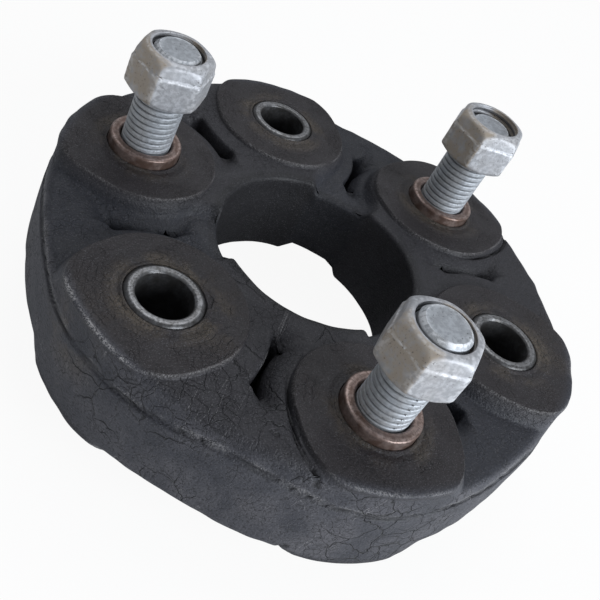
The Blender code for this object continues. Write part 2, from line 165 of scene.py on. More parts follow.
def soft_max(first, second, width):
    """The larger of two fields, blended where they differ by less than a width in millimetres."""
    width = width * MM
    part = np.clip(0.5 + 0.5 * (first - second) / width, 0, 1)
    return second + (first - second) * part + width * part * (1 - part)


def trimmed(body, *cuts):
    """A field after soft cuts, each given as its field and its width in millimetres."""
    for cut, width in cuts:
        body = soft_max(body, cut, width)
    return body


def bell(value, middle, width):
    """1 at the middle, fading out over a width in millimetres."""
    return np.exp(-((value - middle) / (width * MM)) ** 2)


def row_lengths(rows):
    return np.linalg.norm(rows, axis=1, keepdims=True)


LATTICE_SIZE = 48
LATTICE = np.random.default_rng(11).random((LATTICE_SIZE,) * 3)


def lumps(points, size, shift=0.0):
    """Smooth noise from -1 to 1 whose lumps are about one size apart, in millimetres."""
    place = points / (size * MM) + 100 + shift
    cell = np.floor(place).astype(int)
    part = place - cell
    part = part * part * (3 - 2 * part)
    total = np.zeros(len(points))
    for corner in product((0, 1), repeat=3):
        weight = np.where(corner, part, 1 - part).prod(axis=1)
        index = (cell + corner) % LATTICE_SIZE
        total += weight * LATTICE[index[:, 0], index[:, 1], index[:, 2]]
    return 2 * total - 1


def gradient(field, points, step=0.04 * MM):
    slopes = [field(points + step * axis) - field(points - step * axis) for axis in np.eye(3)]
    return np.stack(slopes, axis=1) / (2 * step)


def settle(field, points, limited, longest, rounds):
    """Moves points on to a field's skin, with each step's slope limited to the ways allowed."""
    for _ in range(rounds):
        slope = limited(gradient(field, points))
        size = (slope ** 2).sum(axis=1, keepdims=True).clip(0.05)
        move = -field(points)[:, None] * slope / size
        points = points + move * np.minimum(1, longest / row_lengths(move).clip(1e-9))
    return points


# ---------------------------------------------------------------- the rubber's shape
def about_disc(points):
    """Radius, angle, web number, angle off the web's middle and distance from the nearest bush."""
    radius = np.hypot(points[:, 0], points[:, 1])
    degrees = np.degrees(np.arctan2(points[:, 1], points[:, 0]))
    turned = (degrees - 30) % 360
    web = np.floor(turned / 60).astype(int) % 6
    off_middle = turned - 60 * np.floor(turned / 60) - 30
    away = np.radians(30 - np.abs(off_middle))
    squared = radius ** 2 + PITCH_RADIUS ** 2 - 2 * radius * PITCH_RADIUS * np.cos(away)
    return radius, degrees, web, off_middle, np.sqrt(squared)


def outline_radius(degrees):
    return OUTLINE_RADIUS + OUTLINE_SWELL * np.cos(np.radians(6 * (degrees - 30)))


def slot_field(points):
    """Below zero inside the hourglass slots."""
    radius, _, _, off_middle, bush_distance = about_disc(points)
    along = radius * np.cos(np.radians(off_middle)) - SLOT_MIDDLE
    sides = SLOT_SIDE_RADIUS - bush_distance
    ends = np.abs(along) - SLOT_HALF_LENGTH
    return soft_max(sides, ends, 2.2)


def pad_radius(outward):
    """The pad's radius in a direction whose cosine to the outward one is given."""
    return PAD_RADIUS + PAD_FLARE * ramp(0.05, 0.85, outward)


def off_pad(points):
    """Distance outside the edge of the nearest pad."""
    radius, _, _, off_middle, bush_distance = about_disc(points)
    along = radius * np.cos(np.radians(30 - np.abs(off_middle))) - PITCH_RADIUS
    return bush_distance - pad_radius(along / bush_distance.clip(1e-6))


def pad_groove(radius, beside):
    """A narrow channel in a full web, drifting away from the bolted pad towards the rim."""
    drift = 0.5 * MM + 0.9 * MM * ramp_mm(48, 62, radius)
    return bell(beside, drift, 0.32) * ramp_mm(40, 50, radius)


def top_height(points):
    """Height of the upper or lower face above the mid-plane: pads, webs and valleys."""
    radius, _, web, off_middle, bush_distance = about_disc(points)
    full = web % 2 == 1
    beside = off_pad(points)
    beyond = (np.abs(off_middle) - VALLEY_SPREAD) * math.radians(1) * radius
    outside = soft_max(0.1 * MM - beside, beyond, 3.0)
    wide = VALLEY_SLOPE + 1.4 * MM * ramp_mm(34, 28, radius)
    sunk = ramp(0, 1, -outside / wide) * ~full
    height = WEB_HALF - (WEB_HALF - VALLEY_HALF) * sunk
    near_bolt = (off_middle > 0) == full
    height = height - 0.9 * MM * pad_groove(radius, beside) * full * near_bolt
    raised = ramp_mm(0.35, -0.35, beside)
    rim = 0.25 * MM * bell(bush_distance, RIM_RADIUS + 2.6 * MM, 1.2)
    rim = rim + 0.4 * MM * ramp_mm(1.3, 0.3, bush_distance - RIM_RADIUS)
    return height + (PAD_HALF - 0.25 * MM - height) * raised + rim * raised


def crease_height(points):
    """Where a ragged crease runs round the rim, above the mid-plane."""
    degrees = np.degrees(np.arctan2(points[:, 1], points[:, 0]))
    at_bush = 0.5 + 0.5 * np.cos(np.radians(6 * (degrees - 30)))
    return (7.3 - 2.2 * at_bush) * MM + 0.7 * MM * lumps(points * (1, 1, 0), 12)


def rubber_field(points):
    """Below zero inside the moulded rubber, about in metres from its skin."""
    radius, degrees, web, off_middle, bush_distance = about_disc(points)
    height = points[:, 2] - MID_PLANE
    top = top_height(points)
    beside = off_pad(points)
    at_web = 0.5 - 0.5 * np.cos(np.radians(6 * (degrees - 30)))
    over_crease = height - crease_height(points)
    band = ramp_mm(-0.5, 0.7, over_crease) * (0.2 * MM + 0.5 * RIM_LEAN[web] * at_web)
    lean = ramp_mm(0, 5, over_crease) * at_web * RIM_LEAN[web]
    belly = WALL_INSET * np.where(height > 0, (1 - (height / (9 * MM)) ** 2).clip(0), 1)
    ragged = 1 + 0.8 * lumps(points * (1, 1, 0), 5, 21)
    crease = CREASE_DEPTH * bell(over_crease, 0, 0.32) * ragged
    lip = (WALL_INSET + 0.25 * MM) * ramp_mm(11.0, 13.0, height)
    lip = lip * ramp_mm(1, -1, beside)
    wall = radius - (outline_radius(degrees) - WALL_INSET - band - lean + belly - crease + lip)
    hole = HOLE_RADIUS - 0.7 * MM * ramp_mm(-6, -0.5, height - top)
    hole = hole + 0.2 * MM * lumps(points, 11, 3)
    to_bolt = np.radians(off_middle) * radius * np.where(web % 2 == 1, 1, -1)
    body = trimmed(
        wall,
        (np.abs(height) - top, 1.1 + 1.3 * ramp_mm(-1.5, 1.0, beside)),
        (hole - radius, 1.3),
        (-slot_field(points), 1.0 + 5.0 * ramp_mm(-1.0, 1.5, to_bolt)),
        (RIM_RADIUS - bush_distance, 0.25),
    )
    rough = 0.10 * lumps(points, 9) + 0.05 * lumps(points, 3.4, 7)
    rough = rough * (1 + 1.2 * ramp_mm(-2.5, 0, wall))
    return body - MM * rough * ramp_mm(0, 1, bush_distance - RIM_RADIUS)


# ---------------------------------------------------------------- the rubber's mesh
def resample(loop, spacing):
    """Even points along a closed line of (x, y) points."""
    closed = np.vstack([loop, loop[:1]])
    lengths = np.linalg.norm(np.diff(closed, axis=0), axis=1)
    along = np.concatenate([[0], np.cumsum(lengths)])
    count = max(8, round(along[-1] / spacing))
    wanted = np.arange(count) / count * along[-1]
    return np.stack([np.interp(wanted, along, closed[:, k]) for k in (0, 1)], axis=1)


def first_crossing(field, centre, directions, far):
    """Where rays from a centre first leave the inside of a field, by bisection."""
    low = np.zeros(len(directions))
    high = np.full(len(directions), far)
    for _ in range(40):
        middle = (low + high) / 2
        inside = field(centre + directions * middle[:, None]) < 0
        low = np.where(inside, middle, low)
        high = np.where(inside, high, middle)
    return centre + directions * low[:, None]


def unit(degrees):
    angle = np.radians(degrees)
    return np.stack([np.cos(angle), np.sin(angle)], axis=-1)


def flat(points):
    return np.column_stack([points, np.zeros(len(points))])


def slot_loop(middle, spacing, grow=0.0):
    centre = SLOT_MIDDLE * unit(middle)
    directions = unit(np.arange(0, 360, 1.5) + middle)
    loop = first_crossing(lambda p: slot_field(flat(p)) - grow, centre, directions, 12 * MM)
    return resample(loop, spacing)


def seam_radii(bush_side):
    """Radii of the points along a seam, outside the bush or between it and the hole."""
    fine = np.array([0, 0.12, 0.3, 0.5, 0.75, 1.05, 1.4]) * MM
    if bush_side == "outer":
        start = PITCH_RADIUS + RIM_RADIUS
        end = outline_radius(np.array(30.0)) - WALL_INSET
    else:
        start = HOLE_RADIUS
        end = PITCH_RADIUS - RIM_RADIUS
    inside = np.arange(start + fine[-1] + 0.5 * MM, end - fine[-1] - 0.3 * MM, 0.55 * MM)
    return np.concatenate([start + fine, inside, end - fine[::-1]])


def web_outline(middle, spacing):
    """The plan of one web's piece, anticlockwise, as runs of points with the name of their kind."""
    first, last = middle - 30, middle + 30
    step = math.degrees(spacing / OUTLINE_RADIUS)
    angles = np.linspace(first, last, round(60 / step) + 1)
    rim_steps = round(math.pi * RIM_RADIUS / spacing)
    rim = np.linspace(0, 180, rim_steps + 1)
    hole_angles = np.linspace(last, first, round(60 / math.degrees(spacing / HOLE_RADIUS)) + 1)
    outer = seam_radii("outer")
    inner = seam_radii("inner")
    last_bush = PITCH_RADIUS * unit(last)
    first_bush = PITCH_RADIUS * unit(first)
    return [
        ("wall", (outline_radius(angles) - WALL_INSET)[:, None] * unit(angles)),
        ("seam", outer[::-1][:, None] * unit(last)),
        ("rim", last_bush + RIM_RADIUS * unit(last - rim)),
        ("seam", inner[::-1][:, None] * unit(last)),
        ("hole", HOLE_RADIUS * unit(hole_angles)),
        ("seam", inner[:, None] * unit(first)),
        ("rim", first_bush + RIM_RADIUS * unit(first + 180 - rim)),
        ("seam", outer[:, None] * unit(first)),
    ]


def fill_points(middle, spacing, fine):
    """Points inside a web's piece: rings that follow the features, and an even scatter between."""
    groups = []
    step = math.degrees(spacing / OUTLINE_RADIUS)
    angles = np.arange(middle - 30 + step, middle + 30 - step / 2, step)
    depths = (0.15, 0.35, 0.6, 0.9, 1.3, 1.8, 2.4) if fine else (0.4, 1.0, 1.8)
    for depth in depths:
        groups.append((outline_radius(angles) - WALL_INSET - depth * MM)[:, None] * unit(angles))
    hole_angles = np.arange(middle - 29, middle + 29, 1.2)
    for depth in depths:
        groups.append((HOLE_RADIUS + depth * MM) * np.ones((len(hole_angles), 1)) * unit(hole_angles))
    for depth in depths[:-1]:
        groups.append(slot_loop(middle, spacing, depth * MM))
    steps = (-0.35, 0.35, 2.4)
    if fine:
        steps = (-0.45, -0.3, -0.15, 0.0, 0.15, 0.3, 0.45, 0.9, 1.4, 2.0, 2.6)
    for side in (-30, 30):
        bush = PITCH_RADIUS * unit(middle + side)
        around = np.arange(0, 360, math.degrees(spacing * 0.8 / PAD_RADIUS))
        pad_edge = pad_radius(np.cos(np.radians(around - middle - side)))
        for step in steps:
            groups.append(bush + (pad_edge + step * MM)[:, None] * unit(around))
        for depth in depths:
            ring = RIM_RADIUS + depth * MM
            groups.append(bush + ring * unit(np.arange(0, 360, math.degrees(spacing * 0.8 / ring))))
    count = round(70 * MM / spacing)
    rows, columns = np.mgrid[-count:count, -count:count]
    scatter = np.stack([columns + 0.5 * (rows % 2), rows * 0.866], axis=-1) * spacing
    scatter = scatter.reshape(-1, 2)
    clear = (np.abs(off_pad(flat(scatter)) - 0.9 * MM) > 2.0 * MM) | (not fine)
    groups.append(scatter[clear])
    points = np.vstack(groups)
    place = flat(points)
    radius, degrees, web, off_middle, bush_distance = about_disc(place)
    wanted_web = round((middle - 60) / 60) % 6
    margin = 0.1 * MM
    inside = web == wanted_web
    inside &= radius * np.radians(30 - np.abs(off_middle)) > 0.25 * MM
    inside &= radius < outline_radius(degrees) - WALL_INSET - margin
    inside &= radius > HOLE_RADIUS + margin
    inside &= bush_distance > RIM_RADIUS + margin
    inside &= slot_field(place) > margin
    return points[inside]


def triangulated(boundary, slot, inner):
    """Delaunay triangles of a plan, with its boundary and slot kept as edges."""
    points = np.vstack([boundary, slot, inner])
    edges = []
    for start, count in ((0, len(boundary)), (len(boundary), len(slot))):
        edges += [(start + k, start + (k + 1) % count) for k in range(count)]
    scaled = [Vector((x, y)) for x, y in points / MM]
    result = delaunay_2d_cdt(scaled, edges, [], 0, 1e-5)
    places = np.array([tuple(v) for v in result[0]]) * MM
    faces = np.array([f for f in result[2] if len(f) == 3])
    place = flat(places[faces].mean(axis=1))
    radius, _, _, _, bush_distance = about_disc(place)
    keep = slot_field(place) > 0
    keep &= bush_distance > RIM_RADIUS * 0.998
    keep &= radius > HOLE_RADIUS * 0.999
    first, second, third = (places[faces[:, k]] for k in range(3))
    doubled_area = np.cross(second - first, third - first)
    keep &= doubled_area > 0.001 * MM * MM
    origin = np.full(len(places), -1)
    for index, sources in enumerate(result[3]):
        if sources:
            origin[index] = min(sources)
    return places, faces[keep], origin


def new_mesh(name, vertices, faces, material, normals=None):
    mesh = bpy.data.meshes.new(name)
    mesh.from_pydata([tuple(v) for v in vertices], [], faces)
    mesh.update()
    mesh.shade_smooth()
    if normals is not None:
        mesh.normals_split_custom_set_from_vertices([tuple(n) for n in normals])
    mesh.materials.append(material)
    piece = bpy.data.objects.new(name, mesh)
    bpy.context.scene.collection.objects.link(piece)
    return piece


def add_values(piece, **attributes):
    """Adds one value or vector a vertex under each name, for the materials."""
    for name, values in attributes.items():
        values = np.asarray(values, dtype=float)
        kind, field = ("FLOAT", "value") if values.ndim == 1 else ("FLOAT_VECTOR", "vector")
        attribute = piece.data.attributes.new(name, kind, "POINT")
        attribute.data.foreach_set(field, values.ravel())


def add_masks(piece, **masks):
    add_values(piece, **{name: np.clip(mask, 0, 1) for name, mask in masks.items()})


class WebBuilder:
    """Builds the rubber between two neighbouring bushes as one closed mesh."""

    def __init__(self, middle):
        self.middle = middle
        self.spacing = 0.5 * MM
        self.wall_rows = 46
        self.points = []
        self.held = []
        self.free = []
        self.faces = []

    def add_points(self, places, held=None, free=True):
        start = len(self.points)
        self.points += list(places)
        self.held += list(held) if held is not None else [np.zeros(3)] * len(places)
        self.free += [free] * len(places)
        return list(range(start, start + len(places)))

    def seam_hold(self, plan):
        """The sideways direction that keeps each seam point in its seam plane."""
        held = np.zeros((len(plan), 3))
        for side in (-30, 30):
            across = np.append(unit(self.middle + side + 90), 0.0)
            on_seam = np.abs(plan @ across[:2]) < 0.001 * MM
            held[on_seam] = across
        return held

    def sheet(self, boundary, slot, upward, fine):
        spacing = self.spacing * (1.0 if fine else 1.7)
        inner = fill_points(self.middle, spacing, fine)
        plan, triangles, origin = triangulated(boundary, slot, inner)
        side = 1 if upward else -1
        heights = MID_PLANE + side * top_height(flat(plan))
        places = np.column_stack([plan, heights])
        indices = np.array(self.add_points(places, self.seam_hold(plan)))
        ordered = triangles if upward else triangles[:, ::-1]
        self.faces += indices[ordered].tolist()
        lookup = {source: indices[k] for k, source in enumerate(origin) if source >= 0}
        return [int(lookup[k]) for k in range(len(boundary) + len(slot))]

    def skin_column(self, plan, upper, lower, rows):
        top = top_height(flat(plan[None]))[0]
        share = np.linspace(1, -1, rows + 2)[1:-1]
        share = 0.45 * share + 0.55 * np.sin(share * math.pi / 2)
        places = np.column_stack([np.tile(plan, (rows, 1)), MID_PLANE + share * top])
        held = self.seam_hold(places[:, :2])
        return [upper] + self.add_points(places, held) + [lower]

    def cavity_column(self, plan, upper, lower):
        """Down a bush's side: room for the upper collar, the barrel and the lower collar."""
        bush = min((PITCH_RADIUS * unit(self.middle + side) for side in (-30, 30)),
                   key=lambda centre: np.linalg.norm(plan - centre))
        away = (plan - bush) / np.linalg.norm(plan - bush)
        half = [
            (RIM_RADIUS, COLLAR_HIGH + CAVITY_GAP),
            (COLLAR_RADIUS + CAVITY_GAP, COLLAR_HIGH + CAVITY_GAP),
            (COLLAR_RADIUS + CAVITY_GAP, COLLAR_LOW - CAVITY_GAP),
            (BARREL_RADIUS + CAVITY_GAP, COLLAR_LOW - CAVITY_GAP),
        ]
        levels = half + [(radius, -height) for radius, height in reversed(half)]
        places = [np.append(bush + away * radius, MID_PLANE + height) for radius, height in levels]
        return [upper] + self.add_points(places, free=False) + [lower]

    def strip(self, first, second, inward):
        for k in range(len(first) - 1):
            face = (first[k + 1], second[k + 1], second[k], first[k])
            self.faces.append(face[::-1] if inward else face)

    def build(self, name, material):
        runs = web_outline(self.middle, self.spacing)
        boundary = np.vstack([run[:-1] for kind, run in runs])
        slot = slot_loop(self.middle, self.spacing)
        upper = self.sheet(boundary, slot, True, True)
        lower = self.sheet(boundary, slot, False, False)
        count = len(boundary)
        columns = {}
        start = 0
        for kind, run in runs:
            if kind != "seam":
                for k in range(start, start + len(run)):
                    b = k % count
                    if kind == "rim":
                        columns[b] = self.cavity_column(boundary[b], upper[b], lower[b])
                    else:
                        rows = self.wall_rows if kind == "wall" else self.wall_rows * 2 // 3
                        columns[b] = self.skin_column(boundary[b], upper[b], lower[b], rows)
                for k in range(start, start + len(run) - 1):
                    self.strip(columns[k % count], columns[(k + 1) % count], False)
            start += len(run) - 1
        start = 0
        for kind, run in runs:
            if kind == "seam":
                ends = [k % count for k in range(start, start + len(run))]
                up = columns[ends[-1]][::-1][1:-1]
                down = columns[ends[0]][1:-1]
                loop = [lower[k] for k in ends] + up + [upper[k] for k in reversed(ends)] + down
                self.faces += self.cap_faces(loop)
            start += len(run) - 1
        slot_columns = [
            self.skin_column(place, above, below, self.wall_rows // 2)
            for place, above, below in zip(slot, upper[count:], lower[count:])
        ]
        for k in range(len(slot)):
            self.strip(slot_columns[k - 1], slot_columns[k], True)
        return self.finished(name, material)

    def cap_faces(self, loop):
        """Triangles that close a seam, split inside its outline in the seam's own plane."""
        corners = np.array([self.points[k] for k in loop])
        along = corners[:, :2].sum(axis=0)
        across = corners[:, :2] @ (along / np.linalg.norm(along))
        outline = [Vector((x, z)) for x, z in zip(across / MM, corners[:, 2] / MM)]
        edges = [(k, (k + 1) % len(loop)) for k in range(len(loop))]
        result = delaunay_2d_cdt(outline, edges, [], 1, 1e-6)
        up = corners[:, 2]
        turned = np.sum(across * np.roll(up, -1) - np.roll(across, -1) * up) < 0
        plain = [loop[min(sources)] for sources in result[3]]
        triangles = [[plain[k] for k in face] for face in result[2]]
        return [face[::-1] if turned else face for face in triangles if len(set(face)) == 3]

    def finished(self, name, material):
        points = np.array(self.points)
        held = np.array(self.held)
        free = np.array(self.free)
        in_plane = held[free]

        def limited(slope):
            return slope - in_plane * (slope * in_plane).sum(axis=1, keepdims=True)

        points[free] = settle(rubber_field, points[free], limited, 1.0 * MM, 5)
        points = np.clip(points, BOX_LOW, BOX_HIGH)
        normals = np.zeros_like(points)
        normals[free] = gradient(rubber_field, points[free], 0.12 * MM)
        normals = np.where(free[:, None], normals / row_lengths(normals).clip(1e-9), 0.0)
        return new_mesh(name, points, self.faces, material, normals)


def web_ends(middle):
    """Where a web's twist begins and ends: from its open bush towards its bolted one."""
    chord_middle = PITCH_RADIUS * math.cos(math.radians(30)) * unit(middle)
    full = round((middle - 60) / 60) % 2 == 1
    towards_bolted = unit(middle + 90) * (1 if full else -1)
    reach = 12.5 * MM * towards_bolted
    return (*(chord_middle - reach), MID_PLANE), (*(chord_middle + reach), MID_PLANE)


WEB_MIDDLES = (60, 120, 180, 240, 300, 0)


def make_rubber(material):
    for number, middle in enumerate(WEB_MIDDLES, 1):
        web = WebBuilder(middle).build(f"rubber_web_{number}", material)
        add_rubber_values(web, np.array([v.co for v in web.data.vertices]))
        if number == 1:
            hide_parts("rubber_body")
        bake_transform(web)


def near(points, place, size):
    """1 at a place on the rubber, fading out over the given size in millimetres."""
    offset = (points - np.array(place)) / (np.array(size) * MM)
    return np.exp(-(offset ** 2).sum(axis=1))


def on_rim(degrees, height):
    return (*(65 * MM * unit(degrees)), MID_PLANE + height * MM)


def beside_bush_1(distance, degrees):
    bush = node_middle("open_bush_1").xy
    return (*(np.array(bush) + distance * MM * unit(degrees)), MID_PLANE + PAD_HALF)


def off_angle(degrees, middle):
    return np.abs((degrees - middle + 180) % 360 - 180)


def add_rubber_values(web, points):
    """What the rubber's material reads: places, and masks from 0 to 1."""
    radius, degrees, number, off_middle, bush_distance = about_disc(points)
    height = points[:, 2] - MID_PLANE
    level = np.abs(height)
    top = top_height(points)
    beside = off_pad(points)
    depth = outline_radius(degrees) - radius
    over_crease = height - crease_height(points)
    full = number % 2 == 1
    side = ramp_mm(2.2, 0.9, depth) * ramp_mm(12.2, 10.5, level)
    # the lower wall gets more painted light, as if from the floor below
    low_side = ramp_mm(2, -6, height) * side
    pad = ramp_mm(0.3, -0.3, beside) * ramp_mm(11, 12.5, level)
    valley = ~full * ramp(WEB_HALF, VALLEY_HALF, top) * (1 - side)
    # painted shade on the hole's wall, less towards 28 degrees where its far rim is lit
    hole_side = ramp(HOLE_RADIUS + 2.2 * MM, HOLE_RADIUS + 0.8 * MM, radius)
    hole_side = hole_side * (1 - 0.75 * ramp(25, 8, off_angle(degrees, 28)))
    rim_edge = bell(depth, 0.5 * MM, 0.45) * bell(level, top - 0.2 * MM, 0.45)
    # a broad painted highlight and sheen along each lip
    soft_lip = bell(depth, 0.5 * MM, 1.3) * bell(level, top, 1.2)
    pad_line = bell(beside, -0.1 * MM, 0.2) * ramp(WEB_HALF, PAD_HALF, level)
    # painted shade along the crease and the pad groove
    crease = side * bell(over_crease, 0, 0.45)
    near_bolt = (off_middle > 0) == full
    crease += full * near_bolt * pad_groove(radius, beside) * (level > 9 * MM)
    stain = near(points, beside_bush_1(10.5, -10), (4.5, 7, 8))
    stain += 0.9 * near(points, on_rim(207, 5), (9, 7, 6))
    stain += 0.6 * near(points, on_rim(335, 4), (12, 12, 9))
    stain += 0.5 * pad * ramp_mm(14, 10, bush_distance)
    craze = ramp(0.2, 0.9, side + 0.7 * (number == 3) * (1 - pad) * (level > 10 * MM))
    rubbed = rim_edge * ramp_mm(0.8, -0.8, beside)
    rubbed = rubbed * (0.15 + 0.85 * ramp(34, 24, off_angle(degrees, 212)))
    under_crease = side * bell(over_crease, 0.7 * MM, 0.4)
    arc = np.radians(off_middle) * radius
    add_values(
        web,
        rest=points,
        bush_mm=bush_distance / MM,
        web_place=np.column_stack([arc, 0.035 * radius, 0.2 * height]) / MM,
    )
    add_masks(
        web,
        # painted shade on the hole's wall and on the valley floors
        tone_dark=hole_side + 0.55 * valley,
        tone_brown=pad,
        # painted light: the outer wall paler, more so low down, with a painted highlight on the lip
        tone_side=0.75 * side + 0.5 * low_side + 0.45 * soft_lip,
        # painted bluish sheen on the outer wall, the valley floors and the lips
        tone_blue=0.8 * side + 0.9 * valley + soft_lip,
        stain=stain,
        scuff=rubbed + 0.3 * rim_edge + 0.45 * pad_line + 0.55 * under_crease,
        craze=np.maximum(craze, 0.55 * stain),
        # painted shade along the crease and the pad groove
        crease=crease,
        rings=pad * np.maximum(near(points, beside_bush_1(13, -30), (9, 11, 9)), 0.25),
    )


# ---------------------------------------------------------------- wound cords
def pack_section(width, height):
    """A closed outline of cords side by side, as (across, up) points about its middle."""
    across = max(2, round(width / CORD_SIZE))
    up = max(2, round(height / CORD_SIZE))
    outline = []
    corners = [(-1, -1), (1, -1), (1, 1), (-1, 1)]
    for k, (x, y) in enumerate(corners):
        nx, ny = corners[(k + 1) % 4]
        cords = across if k % 2 == 0 else up
        for j in range(cords * 3):
            part = j / (cords * 3)
            bulge = abs(math.sin(math.pi * part * cords))
            inset = 1 - 0.28 * CORD_SIZE * (1 - bulge) * 2 / min(width, height)
            outline.append((
                (x + (nx - x) * part) * width / 2 * inset,
                (y + (ny - y) * part) * height / 2 * inset,
            ))
    return outline


def make_pack(node, middle, material):
    low, high = height_range(node)
    inner = BARREL_RADIUS + 0.3 * MM
    steps = 18
    section = pack_section(PACK_RADIUS - inner, high - low)
    vertices = []
    for side in (30, -30):
        centre = PITCH_RADIUS * unit(middle + side)
        start = middle if side > 0 else middle + 180
        for away in unit(start + np.linspace(0, 180, steps + 1)):
            for across, up in section:
                place = centre + away * ((inner + PACK_RADIUS) / 2 + across)
                vertices.append((*place, (low + high) / 2 + up))
    faces = grid_faces(2 * (steps + 1), len(section), True)
    pack = new_mesh("wound_" + node, vertices, faces, material)
    start, end = web_ends(middle)
    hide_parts(node)
    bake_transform(pack)


def make_packs(material):
    for number, middle in enumerate((300, 60, 180), 1):
        make_pack(f"cord_pack_core_{number}", middle, material)
    for number, middle in enumerate((240, 0, 120), 1):
        make_pack(f"cord_pack_upper_{number}", middle, material)
        make_pack(f"cord_pack_lower_{number}", middle, material)


# ---------------------------------------------------------------- turned metal
def rounded(corners, closed=True, steps=4):
    """Rounds the corners of a profile; each corner is (radius, height, rounding in mm)."""
    result = []
    count = len(corners)
    for k, (x, y, size) in enumerate(corners):
        here = np.array((x, y))
        if size == 0 or (not closed and k in (0, count - 1)):
            result.append(here)
            continue
        back = np.array(corners[k - 1][:2]) - here
        ahead = np.array(corners[(k + 1) % count][:2]) - here
        cut = min(size * MM, 0.45 * np.linalg.norm(back), 0.45 * np.linalg.norm(ahead))
        start = here + back / np.linalg.norm(back) * cut
        end = here + ahead / np.linalg.norm(ahead) * cut
        for j in range(steps + 1):
            t = j / steps
            result.append((1 - t) ** 2 * start + 2 * t * (1 - t) * here + t ** 2 * end)
    return np.array(result)


def divided(profile, longest, closed=True):
    """Adds points so that no step of a profile is longer than the given millimetres."""
    result = []
    count = len(profile)
    for k in range(count if closed else count - 1):
        here, there = profile[k], profile[(k + 1) % count]
        parts = max(1, math.ceil(np.linalg.norm(there - here) / (longest * MM)))
        for j in range(parts):
            result.append(here + (there - here) * j / parts)
    if not closed:
        result.append(profile[-1])
    return np.array(result)


def spun(columns, profile):
    """A grid of points: a profile of (radius, height) along each of the given directions."""
    return np.array([np.column_stack([way * profile[:, :1], profile[:, 1]]) for way in columns])


def reach_from(middle, points):
    return np.hypot(points[:, 0] - middle.x, points[:, 1] - middle.y)


def grid_faces(columns, rows, closed_rows, flip=False):
    """Faces between neighbouring columns; flipped where the rows climb the outer side."""
    faces = []
    for i in range(columns):
        n = (i + 1) % columns
        for k in range(rows if closed_rows else rows - 1):
            m = (k + 1) % rows
            face = (i * rows + k, i * rows + m, n * rows + m, n * rows + k)
            faces.append(face[::-1] if flip else face)
    return faces


def make_bush(number, bolted, material):
    kind = "bolted" if bolted else "open"
    node = f"{kind}_bush_{number}"
    low, high = height_range(node)
    middle = node_middle(node)
    round_edge = 1.1 if bolted else 0.3
    flat_radius = SPIGOT_RADIUS if bolted else OPEN_FLAT_RADIUS
    end_drop = BOLTED_DROP if bolted else OPEN_DROP
    shoulder = COLLAR_LOW - 0.3 * MM
    corners = [
        (flat_radius, high, round_edge),
        (SPIGOT_RADIUS, high - end_drop, 0),
        (SPIGOT_RADIUS, MID_PLANE + shoulder, 0),
        (BARREL_RADIUS, MID_PLANE + shoulder, 0.2),
        (BARREL_RADIUS, MID_PLANE - shoulder, 0.2),
        (SPIGOT_RADIUS, MID_PLANE - shoulder, 0),
        (SPIGOT_RADIUS, low + end_drop, 0),
        (flat_radius, low, round_edge),
        (BORE_RADIUS + BORE_BEVEL, low, 0.15),
        (BORE_RADIUS, low + BORE_BEVEL, 0.15),
        (BORE_RADIUS, high - BORE_BEVEL, 0.15),
        (BORE_RADIUS + BORE_BEVEL, high, 0.15),
    ]
    profile = divided(rounded(corners), 0.8)
    steps = 128
    angles = np.arange(steps) * math.tau / steps
    columns = np.stack([np.cos(angles), np.sin(angles)], axis=1)
    points = spun(columns, profile).reshape(-1, 3)
    points += (middle.x, middle.y, 0)
    dents = 0.04 * lumps(points, 1.3, number) + 0.015 * lumps(points, 0.5, number)
    points[:, 2] -= np.abs(dents) * MM * ramp_mm(1.5, 0, high - points[:, 2])
    bush = new_mesh(f"bush_{kind}_{number}", points, grid_faces(steps, len(profile), True), material)
    reach = reach_from(middle, points)
    end = np.maximum(*(bell(points[:, 2], level, 0.35) for level in (high, low)))
    brink = np.maximum(bell(reach, flat_radius - round_edge / 2 * MM, 0.3),
                       0.7 * bell(reach, BORE_RADIUS + BORE_BEVEL, 0.2))
    # painted shade down the bore, darker deeper in
    inside = ramp_mm(0.25, 0.05, reach - BORE_RADIUS)
    deep = ramp_mm(0.5, 7, np.minimum(high - points[:, 2], points[:, 2] - low))
    rubbed_side = ramp(0.1, 0.9, (points[:, :2] - middle.xy[:]) @ unit(190) / SPIGOT_RADIUS)
    on_flat = (reach > BORE_RADIUS + 0.6 * MM) & (reach < OPEN_FLAT_RADIUS)
    crescent = 0 if bolted else rubbed_side * on_flat
    # painted shade on an open bush's shoulder, where it meets the rubber
    dark_shoulder = 0 if bolted else 0.45 * ramp_mm(-0.1, 0.3, reach - OPEN_FLAT_RADIUS)
    add_values(bush, rest=points, reach_mm=reach / MM)
    add_masks(bush, worn=end * (brink + crescent), groove=inside * (0.1 + 0.6 * deep) + dark_shoulder)
    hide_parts(node)
    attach(bush, "bolted_side" if bolted else "root")


def make_collar(number, bolted, level, material):
    """A pressed disc that holds the cord packs, with rounded edges."""
    kind = "bolted" if bolted else "open"
    node = f"{kind}_collar_{level}_{number}"
    low, high = height_range(node)
    middle = node_middle(node)
    bore = SPIGOT_RADIUS + 0.3 * MM
    corners = [(COLLAR_RADIUS, high, 0.4), (COLLAR_RADIUS, low, 0.4), (bore, low, 0.3), (bore, high, 0.3)]
    profile = divided(rounded(corners), 1.2)
    steps = 96
    points = spun(unit(np.arange(steps) * 360 / steps), profile).reshape(-1, 3)
    points += (middle.x, middle.y, 0)
    collar = new_mesh("pressed_" + node, points, grid_faces(steps, len(profile), True), material)
    reach = reach_from(middle, points)
    # the second mask is painted shade round the bore, where the collar meets the bush
    add_values(collar, rest=points, reach_mm=reach / MM,
               worn=0.5 * bell(reach, COLLAR_RADIUS, 0.5), groove=0.6 * bell(reach, bore, 0.5))
    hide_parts(node)
    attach(collar, "bolted_side" if bolted else "root")


